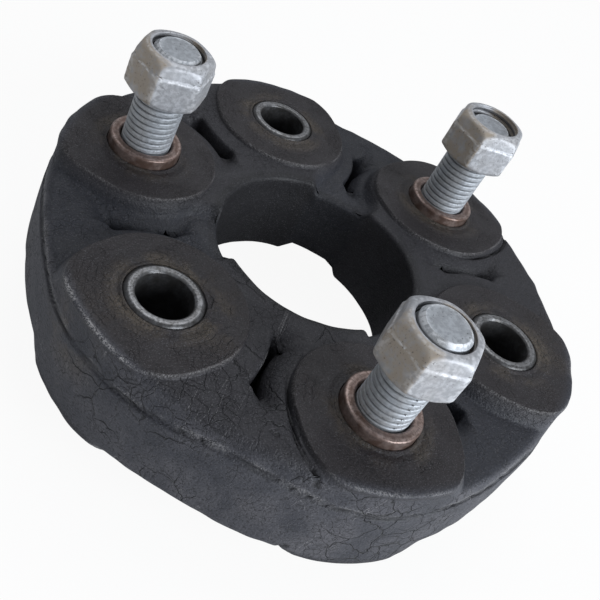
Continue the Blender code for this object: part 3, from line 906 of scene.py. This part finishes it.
# ---------------------------------------------------------------- bolts and nuts
def hexagon_angles(turn):
    """Column directions, closer together towards the corners."""
    per_side = 26
    share = np.sin(np.linspace(-1, 1, per_side + 1)[:-1] * math.pi / 2)
    return np.concatenate([turn + 60 * k + 30 + 30 * share for k in range(6)])


def soft_hexagon(points, turn, width):
    """Distance from the axis along the nearest of six sides, with one corner at an angle."""
    sides = [points[:, :2] @ unit(turn + 30 + 60 * k) for k in range(6)]
    return trimmed(sides[0], *((side, width) for side in sides[1:]))


def nut_field(points, turn):
    """Below zero inside a lock nut that stands on z = 0."""
    height = points[:, 2]
    radius = np.hypot(points[:, 0], points[:, 1])
    above = height - NUT_SHOULDER
    lean = 0.28 * MM * ramp_mm(0, 0.45, above) + 0.12 * above.clip(0)
    body = trimmed(
        soft_hexagon(points, turn, 0.35) - ACROSS_FLATS / 2 + lean,
        ((radius - 7.5 * MM + height - NUT_HEIGHT) / 1.414, 0.5),
        ((radius - 8.2 * MM - height * 1.6) / 1.9, 0.4),
        (radius - CORNER_RADIUS, 0.3),
        (height - NUT_HEIGHT, 1.0),
        (-height, 0.3),
    )
    wear = 0.03 * lumps(points, 2.2, 5) + 0.015 * lumps(points, 0.9, 9)
    return body - wear * MM


def settle_in_plane(field, grid):
    """Moves a grid's points on to a surface within their own half-planes about the axis."""
    points = grid.reshape(-1, 3)
    away = points * (1, 1, 0)
    away = away / row_lengths(away).clip(1e-9)

    def limited(slope):
        return away * (slope * away).sum(axis=1, keepdims=True) + slope * (0, 0, 1)

    return settle(field, points, limited, 0.6 * MM, 6).reshape(grid.shape)


def make_nut(number, material):
    node = f"lock_nut_{number}"
    low, _ = height_range(node)
    middle = node_middle(node)
    turn = NUT_TURNS[number]
    recess = NUT_RECESS[number]
    angles = hexagon_angles(turn)
    columns = unit(angles)
    shell = rounded([
        (NUT_HOLE + 0.5 * MM, 0, 0),
        (ACROSS_FLATS / 2, 0, 0.2),
        (ACROSS_FLATS / 2, NUT_HEIGHT, 1.2),
        (recess, NUT_HEIGHT, 0),
    ], closed=False)
    shell = divided(shell, 0.25, closed=False)
    outer = settle_in_plane(lambda p: nut_field(p, turn), spun(columns, shell))
    outer[:, 0, 2] = 0
    outer[:, -1, :2] = columns * recess
    outer[:, -1, 2] = NUT_HEIGHT - 0.02 * MM
    top = NUT_HEIGHT - 0.7 * MM
    height = np.linspace(top, 0, 110)
    hole = []
    for angle, column in zip(angles, columns):
        phase = (height / PITCH - angle / 360) % 1
        radius = NUT_HOLE + 0.45 * MM * ramp(0.25, 0.8, np.abs(2 * phase - 1))
        radius = np.maximum(radius, NUT_HOLE + 0.5 * MM - height)
        radius = np.maximum(radius, recess - (top - height) * 1.2)
        hole.append(np.column_stack([column * radius[:, None], height]))
    mouth = spun(columns, np.array([[recess - 0.02 * MM, NUT_HEIGHT - 0.25 * MM]]))
    grid = np.concatenate([outer, mouth, hole], axis=1)
    points = grid.reshape(-1, 3) + (middle.x, middle.y, low)
    faces = grid_faces(len(angles), grid.shape[1], True, flip=True)
    nut = new_mesh(f"nut_{number}", points, faces, material)
    height = points[:, 2] - low
    reach = reach_from(middle, points)
    # painted highlight along the nut's ledge
    ledge = bell(height, NUT_SHOULDER + 0.1 * MM, 0.18) * (reach > 8 * MM)
    corner = ramp_mm(8.9, 9.5, reach) * ramp_mm(0.5, 1.5, height)
    crown = bell(reach, NUT_CROWN, 0.35) * ramp_mm(10.6, 11.0, height)
    # painted shade in the thread at the top of the hole
    thread = ramp_mm(0.3, 0.05, reach - NUT_HOLE) * ramp_mm(11.1, 10.3, height)
    add_metal_values(nut, points)
    # worn: a painted highlight on the ledge, and real wear on the corners and crown
    add_masks(nut, worn=0.8 * ledge + 0.35 * corner + 0.4 * crown, groove=0.9 * thread)
    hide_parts(node)
    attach(nut, node)


def add_metal_values(piece, points):
    """Where a fastener's plating is darkened by dirt and painted shade: chiefly on the sides that look
    towards -X.
    """
    normals = np.array([vertex.normal[:2] for vertex in piece.data.vertices])
    # faces towards that side are darkened: dirt on them, and painted shade on the side away from the light
    facing = normals @ unit(DIRTY_SIDE) / np.linalg.norm(normals, axis=1).clip(0.25)
    cloud = lumps(points, 4, 31)
    add_values(piece, rest=points)
    # the dirt mask carries real dirt and painted shade together
    add_masks(piece, dirt=0.12 + ramp(0.45, 0.80, facing) + 0.15 * cloud)


def head_field(points, turn):
    """Below zero inside a bolt's head that stands on z = 0."""
    height = points[:, 2]
    radius = np.hypot(points[:, 0], points[:, 1])
    sides = soft_hexagon(points, turn, 0.5) - ACROSS_FLATS / 2
    cone = (radius - SEAT_RADIUS - height * 1.65) / 1.93
    seat = np.where(height > HEAD_HEIGHT - 0.5 * MM, radius - SEAT_RADIUS, -1.0)
    body = np.maximum(soft_max(sides, cone, 0.4), seat)
    return trimmed(body, (radius - CORNER_RADIUS, 0.3), (height - HEAD_HEIGHT, 0.2), (-height, 0.4))


def thread_grid(columns, angles, turn, tip):
    """The threaded end: ten rows a turn, climbing by the pitch, with a plain point and a bevel."""
    per_turn = 10
    rows = np.arange((math.ceil((tip - THREAD_START) / PITCH) + 1) * per_turn)
    depth = THREAD_DEPTH * (1 - ramp(0.06, 0.36, np.abs(2 * ((rows / per_turn) % 1) - 1)))
    grid = []
    for angle, column in zip(angles, columns):
        height = THREAD_START + PITCH * (rows / per_turn + ((angle - turn) / 360) - 1)
        radius = THREAD_RADIUS - depth * ramp_mm(0, 2, height - THREAD_START)
        bevel = TIP_RADIUS + (tip - height) * 1.05
        point = POINT_RADIUS + (tip - POINT_LENGTH - height).clip(0)
        radius = np.minimum.reduce([radius, bevel, point])
        radius = np.where(height > tip, TIP_RADIUS, radius)
        height = np.clip(height, THREAD_START - PITCH, tip)
        grid.append(np.column_stack([column * radius[:, None], height]))
    return np.array(grid)


def make_bolt(number, material):
    node = f"bolt_{number}"
    low, high = height_range(node)
    tip = high - low
    middle = node_middle(node)
    turn = BOLT_TURNS[number]
    angles = hexagon_angles(turn)
    columns = unit(angles)
    shell = rounded([
        (0.6 * MM, 0, 0),
        (ACROSS_FLATS / 2, 0, 0.4),
        (ACROSS_FLATS / 2, HEAD_HEIGHT, 0.2),
        (THREAD_RADIUS + 0.5 * MM, HEAD_HEIGHT, 0),
    ], closed=False)
    shell = divided(shell, 0.4, closed=False)
    head = settle_in_plane(lambda p: head_field(p, turn), spun(columns, shell))
    shank_rows = np.linspace(HEAD_HEIGHT + 0.6 * MM, THREAD_START - PITCH * 1.2, 12)
    shank = spun(columns, np.column_stack([np.full(12, THREAD_RADIUS), shank_rows]))
    face = spun(columns, np.column_stack([TIP_RINGS[:, 0], tip - TIP_RINGS[:, 1]]))
    grid = np.concatenate([head, shank, thread_grid(columns, angles, turn, tip), face], axis=1)
    count = grid.shape[1]
    faces = grid_faces(len(angles), count, False, flip=True)
    faces.append([k * count for k in reversed(range(len(angles)))])
    faces.append([k * count + count - 1 for k in range(len(angles))])
    points = grid.reshape(-1, 3) + (middle.x, middle.y, low)
    bolt = new_mesh(f"long_bolt_{number}", points, faces, material)
    height = points[:, 2] - low
    reach = reach_from(middle, points)
    on_thread = (height > THREAD_START) & (height < tip - 1.0 * MM)
    # painted shade in the thread's roots
    groove = ramp_mm(-0.2, -0.6, reach - THREAD_RADIUS) * on_thread
    bevel = bell(reach, TIP_RADIUS + 0.3 * MM, 0.45) * ramp_mm(1.6, 0.4, tip - height)
    flat_tip = ramp_mm(0, -0.4, reach - TIP_RADIUS) * (height > THREAD_START)
    add_metal_values(bolt, points)
    # the tip's flat is darkened with dirt, in the same mask as the painted shade
    add_masks(bolt, worn=0.9 * bevel, groove=0.72 * groove + 0.25 * flat_tip)
    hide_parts(node)
    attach(bolt, node)


# ---------------------------------------------------------------- materials
class Shade:
    """Short calls that build one material's nodes.

    A socket is linked, a string is the name of a mesh attribute, and anything else is set.
    """

    def __init__(self, name, colour):
        self.colour = colour
        self.material = bpy.data.materials.new(name)
        self.material.use_nodes = True
        self.tree = self.material.node_tree
        self.shader = self.tree.nodes["Principled BSDF"]

    def put(self, socket, value):
        if isinstance(value, str):
            value = self.attribute(value)
        if isinstance(value, bpy.types.NodeSocket):
            self.tree.links.new(value, socket)
        elif isinstance(value, tuple) and len(value) == 3 and socket.type == "RGBA":
            socket.default_value = (*value, 1.0)
        else:
            socket.default_value = value

    def node(self, kind, inputs, **settings):
        node = self.tree.nodes.new("ShaderNode" + kind)
        for name, value in settings.items():
            setattr(node, name, value)
        for key, value in inputs.items():
            self.put(node.inputs[key], value)
        return node

    def attribute(self, name, vector=False):
        node = self.node("Attribute", {}, attribute_name=name)
        return node.outputs["Vector" if vector else "Fac"]

    def noise(self, place, scale, detail=3.0, distortion=0.0):
        inputs = {"Vector": place, "Scale": scale, "Detail": detail, "Distortion": distortion}
        return self.node("TexNoise", inputs).outputs["Fac"]

    def warped(self, place, scale, amount):
        """A place pushed about by noise, for ragged lines."""
        noise = self.node("TexNoise", {"Vector": place, "Scale": scale, "Detail": 3.0})
        values = {0: noise.outputs["Color"], 1: (0.5, 0.5, 0.5)}
        centred = self.node("VectorMath", values, operation="SUBTRACT")
        pushed = self.node("VectorMath", {0: centred.outputs[0], "Scale": amount}, operation="SCALE")
        return self.node("VectorMath", {0: place, 1: pushed.outputs[0]}, operation="ADD").outputs[0]

    def crack(self, place, scale, width):
        """1 along the borders of random cells, 0 away from them."""
        cells = self.node("TexVoronoi", {"Vector": place, "Scale": scale}, feature="DISTANCE_TO_EDGE")
        return self.step(cells.outputs["Distance"], width, 0.0)

    def step(self, value, low, high):
        inputs = {"Value": value, "From Min": low, "From Max": high}
        return self.node("MapRange", inputs, interpolation_type="SMOOTHSTEP").outputs[0]

    def between(self, value, low, high):
        return self.node("MapRange", {"Value": value, "To Min": low, "To Max": high}).outputs[0]

    def math(self, operation, first, second=0.0):
        return self.node("Math", {0: first, 1: second}, operation=operation).outputs[0]

    def times(self, *values):
        total = values[0]
        for value in values[1:]:
            total = self.math("MULTIPLY", total, value)
        return total

    def mix(self, share, first, second):
        inputs = {"Factor": share, "A": first, "B": second}
        node = self.tree.nodes.new("ShaderNodeMix")
        node.data_type = "RGBA"
        for socket in node.inputs:
            wanted = socket.type == "RGBA" or socket.name == "Factor"
            if socket.name in inputs and wanted and socket.enabled:
                self.put(socket, inputs[socket.name])
        return next(socket for socket in node.outputs if socket.type == "RGBA")

    def paint(self, share, colour):
        """Lays a colour over what is there, by a share from 0 to 1."""
        self.colour = self.mix(share, self.colour, colour)

    def bump(self, height, distance, under=None):
        inputs = {"Height": height, "Distance": distance, "Strength": 1.0}
        if under is not None:
            inputs["Normal"] = under
        return self.node("Bump", inputs).outputs[0]

    def finish(self, roughness, normal, metallic=0.0, specular=0.5):
        values = {"Base Color": self.colour, "Roughness": roughness, "Metallic": metallic,
                  "Specular IOR Level": specular, "Normal": normal}
        for name, value in values.items():
            self.put(self.shader.inputs[name], value)
        return self.material


CHARCOAL = (0.025, 0.024, 0.028)
BROWN_RUBBER = (0.021, 0.017, 0.018)
# colour of a painted bluish sheen
BLUE_RUBBER = (0.038, 0.042, 0.056)
# pale colour for dust specks, and for painted light on the outer wall
PALE_RUBBER = (0.105, 0.101, 0.110)
DEEP_RUBBER = (0.009, 0.009, 0.010)
DRY_DIRT = (0.150, 0.120, 0.085)
CHALK = (0.34, 0.33, 0.33)


def rubber_material():
    """Old moulded rubber: grained, dusty, crazed, scuffed pale on its lips, with painted shade in the
    hole, valleys and crease, painted light on the outer wall and a painted bluish sheen.
    """
    shade = Shade("aged_rubber", CHARCOAL)
    place = shade.attribute("rest", vector=True)
    patches = shade.noise(place, 42.0, 4.0)
    blotches = shade.noise(shade.warped(place, 120.0, 0.006), 130.0, 5.0)
    grit = shade.noise(place, 1900.0, 2.0)
    dust = shade.noise(place, 3600.0, 2.0)
    brown = shade.times("tone_brown", shade.between(blotches, 0.6, 1.1))
    shade.paint(brown, BROWN_RUBBER)
    # painted bluish sheen
    blue = shade.times("tone_blue", shade.between(blotches, 0.35, 1.1))
    shade.paint(blue, BLUE_RUBBER)
    # painted light on the outer wall and the lip
    pale = shade.times("tone_side", shade.step(blotches, 0.25, 0.75), 0.8)
    shade.paint(pale, PALE_RUBBER)
    # painted shade in the hole and on the valley floors
    shade.paint(shade.times("tone_dark", 0.65), DEEP_RUBBER)
    dirt = shade.times("stain", shade.step(blotches, 0.38, 0.66), 0.75)
    shade.paint(dirt, DRY_DIRT)
    shade.paint(shade.times(shade.step(grit, 0.47, 0.33), 0.6), DEEP_RUBBER)
    speckle = shade.times(shade.step(dust, 0.55, 0.70), shade.between(patches, 0.15, 0.95))
    shade.paint(speckle, PALE_RUBBER)
    chafe = shade.times(shade.step(dust, 0.40, 0.60), shade.step(blotches, 0.34, 0.56))
    shade.paint(shade.times("scuff", chafe), CHALK)
    ragged = shade.warped(place, 160.0, 0.007)
    finer = shade.warped(place, 420.0, 0.0014)
    islands = shade.step(shade.noise(place, 55.0, 1.0), 0.42, 0.56)
    large = shade.times(shade.crack(ragged, 118.0, 0.026), "craze", islands)
    small = shade.times(shade.crack(finer, 300.0, 0.030), "craze", shade.step(patches, 0.48, 0.66), 0.8)
    hair = shade.times(shade.crack(finer, 560.0, 0.035), shade.step(blotches, 0.46, 0.62))
    wobble = shade.between(shade.noise(place, 260.0, 3.0), -1.3, 1.3)
    ring = shade.math("PINGPONG", shade.math("ADD", "bush_mm", wobble), 0.8)
    ring = shade.times(shade.step(ring, 0.11, 0.0), "rings", shade.step(blotches, 0.42, 0.60))
    # painted shade along the crease and the pad groove, laid in with the cracks
    crease = shade.times("crease", shade.step(blotches, 0.32, 0.46))
    cracks = large
    for line in (small, ring, crease):
        cracks = shade.math("MAXIMUM", cracks, line)
    # real cracks painted dark, together with the crease's painted shade
    shade.paint(shade.times(cracks, 0.85), DEEP_RUBBER)
    streak = shade.noise(shade.attribute("web_place", vector=True), 0.30, 1.0)
    off_streak = shade.math("ABSOLUTE", shade.math("SUBTRACT", streak, 0.5))
    chalky = shade.times(shade.step(off_streak, 0.007, 0.0), "craze", shade.step(dust, 0.40, 0.60),
                         shade.step(blotches, 0.47, 0.58), 0.5)
    shade.paint(chalky, CHALK)
    shade.paint(shade.times(hair, 0.4), DEEP_RUBBER)
    roughness = shade.between(blotches, 0.38, 0.80)
    grain = shade.bump(grit, 0.00020)
    waves = shade.bump(shade.noise(place, 260.0, 4.0), 0.00028, grain)
    split = shade.math("ADD", cracks, shade.times(hair, 0.4))
    deep = shade.bump(shade.math("SUBTRACT", 1.0, split), 0.00030, waves)
    return shade.finish(roughness, deep, specular=0.36)


def cord_material():
    """Twisted polyester cord, rubbed dark with rubber cement."""
    shade = Shade("wound_cord", (0.20, 0.15, 0.08))
    place = shade.node("TexCoord", {}).outputs["Object"]
    twist = shade.node("TexWave", {"Vector": place, "Scale": 900.0, "Distortion": 2.0, "Detail": 2.0},
                       bands_direction="DIAGONAL").outputs["Fac"]
    soot = shade.step(shade.noise(place, 160.0, 4.0), 0.42, 0.68)
    shade.paint(twist, (0.46, 0.39, 0.25))
    shade.paint(shade.times(soot, 0.7), DEEP_RUBBER)
    return shade.finish(shade.between(twist, 0.7, 0.9), shade.bump(twist, 0.0002))


def zinc_material(name, zinc, dirt, dirtiness):
    """Dull zinc-flake plating with brown dirt and painted shade on one side, dark pits, painted shade in
    the threads and bright rubbed edges with a painted highlight on the nut's ledge.
    """
    shade = Shade(name, tuple(0.72 * c for c in zinc))
    place = shade.attribute("rest", vector=True)
    cloud = shade.noise(place, 260.0, 5.0)
    mottle = shade.noise(place, 1100.0, 3.0)
    shade.paint(shade.step(mottle, 0.35, 0.70), zinc)
    smear = shade.step(shade.math("ADD", cloud, shade.times(mottle, 0.5)), 0.42, 0.86)
    # dirt and painted shade on the faces towards -X
    film = shade.times("dirt", smear, dirtiness)
    shade.paint(film, dirt)
    specks = shade.step(shade.noise(place, 2300.0, 3.0), 0.60, 0.70)
    pits = shade.times(specks, shade.step(cloud, 0.42, 0.58), 0.8)
    shade.paint(shade.times(pits, 0.8), (0.06, 0.055, 0.05))
    # painted shade in the threads and the nut's hole
    shade.paint("groove", (0.045, 0.045, 0.05))
    # rubbed edges, and a painted highlight along the nut's ledge
    bright = shade.times("worn", shade.step(mottle, 0.40, 0.60))
    shade.paint(bright, (0.75, 0.76, 0.78))
    roughness = shade.between(mottle, 0.42, 0.68)
    coarse = shade.bump(cloud, 0.00007)
    normal = shade.bump(shade.math("SUBTRACT", mottle, pits), 0.00006, coarse)
    metallic = shade.between(shade.math("MAXIMUM", film, "groove"), 0.55, 0.0)
    return shade.finish(roughness, normal, metallic)


def bush_material(name, steel, rust, rustiness):
    """Scratched steel ends with rust in the hollows, painted shade down the bore and a bright rubbed rim.
    """
    shade = Shade(name, tuple(0.5 * c for c in steel))
    place = shade.attribute("rest", vector=True)
    cloud = shade.noise(place, 420.0, 5.0)
    scratch = shade.noise(shade.warped(place, 500.0, 0.002), 1600.0, 3.0)
    marks = shade.noise(shade.node("CombineXYZ", {"X": "reach_mm"}).outputs[0], 5.0, 3.0)
    scratch = shade.math("ADD", shade.times(marks, 0.5), shade.times(scratch, 0.5))
    shade.paint(shade.step(scratch, 0.35, 0.65), steel)
    shade.paint(shade.times(shade.step(cloud, 0.36, 0.60), rustiness), rust)
    # painted shade down the bore and on the open bush's shoulder
    shade.paint("groove", (0.012, 0.012, 0.014))
    bright = shade.times("worn", shade.step(scratch, 0.38, 0.58), 0.75)
    shade.paint(bright, tuple(min(1.0, 1.7 * c + 0.05) for c in steel))
    roughness = shade.between(scratch, 0.22, 0.50)
    normal = shade.bump(scratch, 0.00006, shade.bump(cloud, 0.00009))
    return shade.finish(roughness, normal, 0.6)


# ---------------------------------------------------------------- stage, lights, camera
def camera_switch(tree, output, for_light, for_camera, share):
    """Shades a tree one way for light, mixed by a share with another way for the camera's rays."""
    nodes, links = tree.nodes, tree.links
    nodes.clear()
    kinds = ("LightPath", "Math", "MixShader", output)
    rays, scaled, mix, end = (nodes.new("ShaderNode" + kind) for kind in kinds)
    scaled.operation = "MULTIPLY"
    scaled.inputs[1].default_value = share
    links.new(rays.outputs["Is Camera Ray"], scaled.inputs[0])
    links.new(scaled.outputs[0], mix.inputs[0])
    for slot, (kind, values) in enumerate((for_light, for_camera), 1):
        shader = nodes.new("ShaderNode" + kind)
        for name, value in values.items():
            shader.inputs[name].default_value = value
        links.new(shader.outputs[0], mix.inputs[slot])
    links.new(mix.outputs[0], end.inputs[0])


def make_floor():
    size = 6.0
    material = bpy.data.materials.new("white_floor")
    material.use_nodes = True
    matt = ("BsdfDiffuse", {"Color": (0.86, 0.86, 0.86, 1)})
    camera_switch(material.node_tree, "OutputMaterial", matt, ("Emission", {"Strength": 1.0}), 0.93)
    corners = [(-size, -size, 0), (size, -size, 0), (size, size, 0), (-size, size, 0)]
    new_mesh("floor", corners, [(0, 1, 2, 3)], material)


def make_world():
    world = bpy.data.worlds.new("studio")
    bpy.context.scene.world = world
    world.use_nodes = True
    soft = ("Background", {"Color": (0.90, 0.94, 1.0, 1), "Strength": 0.36})
    camera_switch(world.node_tree, "OutputWorld", soft, ("Background", {"Strength": 1.0}), 1.0)


def make_lamp(name, azimuth, elevation, distance, size, power, colour):
    """A soft square panel that looks at the object from a direction in degrees."""
    level = math.cos(math.radians(elevation))
    place = Vector((*(level * unit(azimuth)), math.sin(math.radians(elevation)))) * distance
    lamp = bpy.data.lights.new(name, "AREA")
    lamp.energy = power
    lamp.size = size
    lamp.color = colour
    holder = bpy.data.objects.new(name, lamp)
    holder.location = place
    holder.rotation_euler = (-place).to_track_quat("-Z", "Y").to_euler()
    bpy.context.scene.collection.objects.link(holder)


def make_lights():
    make_lamp("window", 306, 20, 0.9, 0.6, 9.0, (0.90, 0.95, 1.0))
    make_lamp("sky_panel", 70, 65, 0.9, 0.6, 2.2, (0.95, 0.97, 1.0))


CAMERA_PLACE = Vector((-92.35, -139.55, 153.45)) * MM
CAMERA_AZIMUTH, CAMERA_ELEVATION, CAMERA_ROLL = -28.481, 38.945, 27.579


def make_camera():
    camera_data = bpy.data.cameras.new("photo_camera")
    camera_data.sensor_width = 36.0
    camera_data.lens = 52.19
    camera_data.shift_x = 0.0963
    camera_data.shift_y = -0.0621
    camera_data.clip_start = 0.01
    camera = bpy.data.objects.new("photo_camera", camera_data)
    azimuth, elevation, roll = map(math.radians, (CAMERA_AZIMUTH, CAMERA_ELEVATION, CAMERA_ROLL))
    right = Vector((math.cos(azimuth), math.sin(azimuth), 0))
    level = math.cos(elevation)
    back = Vector((math.sin(azimuth) * level, -math.cos(azimuth) * level, math.sin(elevation)))
    up = back.cross(right)
    x_axis = math.cos(roll) * right + math.sin(roll) * up
    y_axis = -math.sin(roll) * right + math.cos(roll) * up
    turned = Matrix((x_axis, y_axis, back)).transposed().to_4x4()
    camera.matrix_world = Matrix.Translation(CAMERA_PLACE) @ turned
    bpy.context.scene.collection.objects.link(camera)
    bpy.context.scene.camera = camera


# ---------------------------------------------------------------- the whole scene
def main():
    make_camera()
    make_world()
    make_floor()
    make_lights()
    make_rubber(rubber_material())
    make_packs(cord_material())
    open_steel = bush_material("open_bush_steel_worn", (0.19, 0.19, 0.195), (0.070, 0.066, 0.062), 0.8)
    bolted_steel = bush_material("bolted_bush_steel_worn", (0.30, 0.225, 0.20), (0.115, 0.066, 0.048), 0.8)
    collar_steel = bush_material("collar_steel_cemented", (0.30, 0.30, 0.31), (0.05, 0.05, 0.05), 0.6)
    # the brown colour and its share paint dirt and painted shade on one side
    bolt_zinc = zinc_material("bolt_zinc_flake", (0.55, 0.58, 0.62), (0.26, 0.23, 0.19), 0.35)
    nut_zinc = zinc_material("nut_zinc_flake", (0.53, 0.54, 0.57), (0.36, 0.30, 0.235), 0.95)
    for number in BUSH_NUMBERS:
        for bolted, steel in ((False, open_steel), (True, bolted_steel)):
            make_bush(number, bolted, steel)
            make_collar(number, bolted, "upper", collar_steel)
            make_collar(number, bolted, "lower", collar_steel)
        make_bolt(number, bolt_zinc)
        make_nut(number, nut_zinc)
    bpy.context.scene.view_settings.view_transform = "Standard"


main()
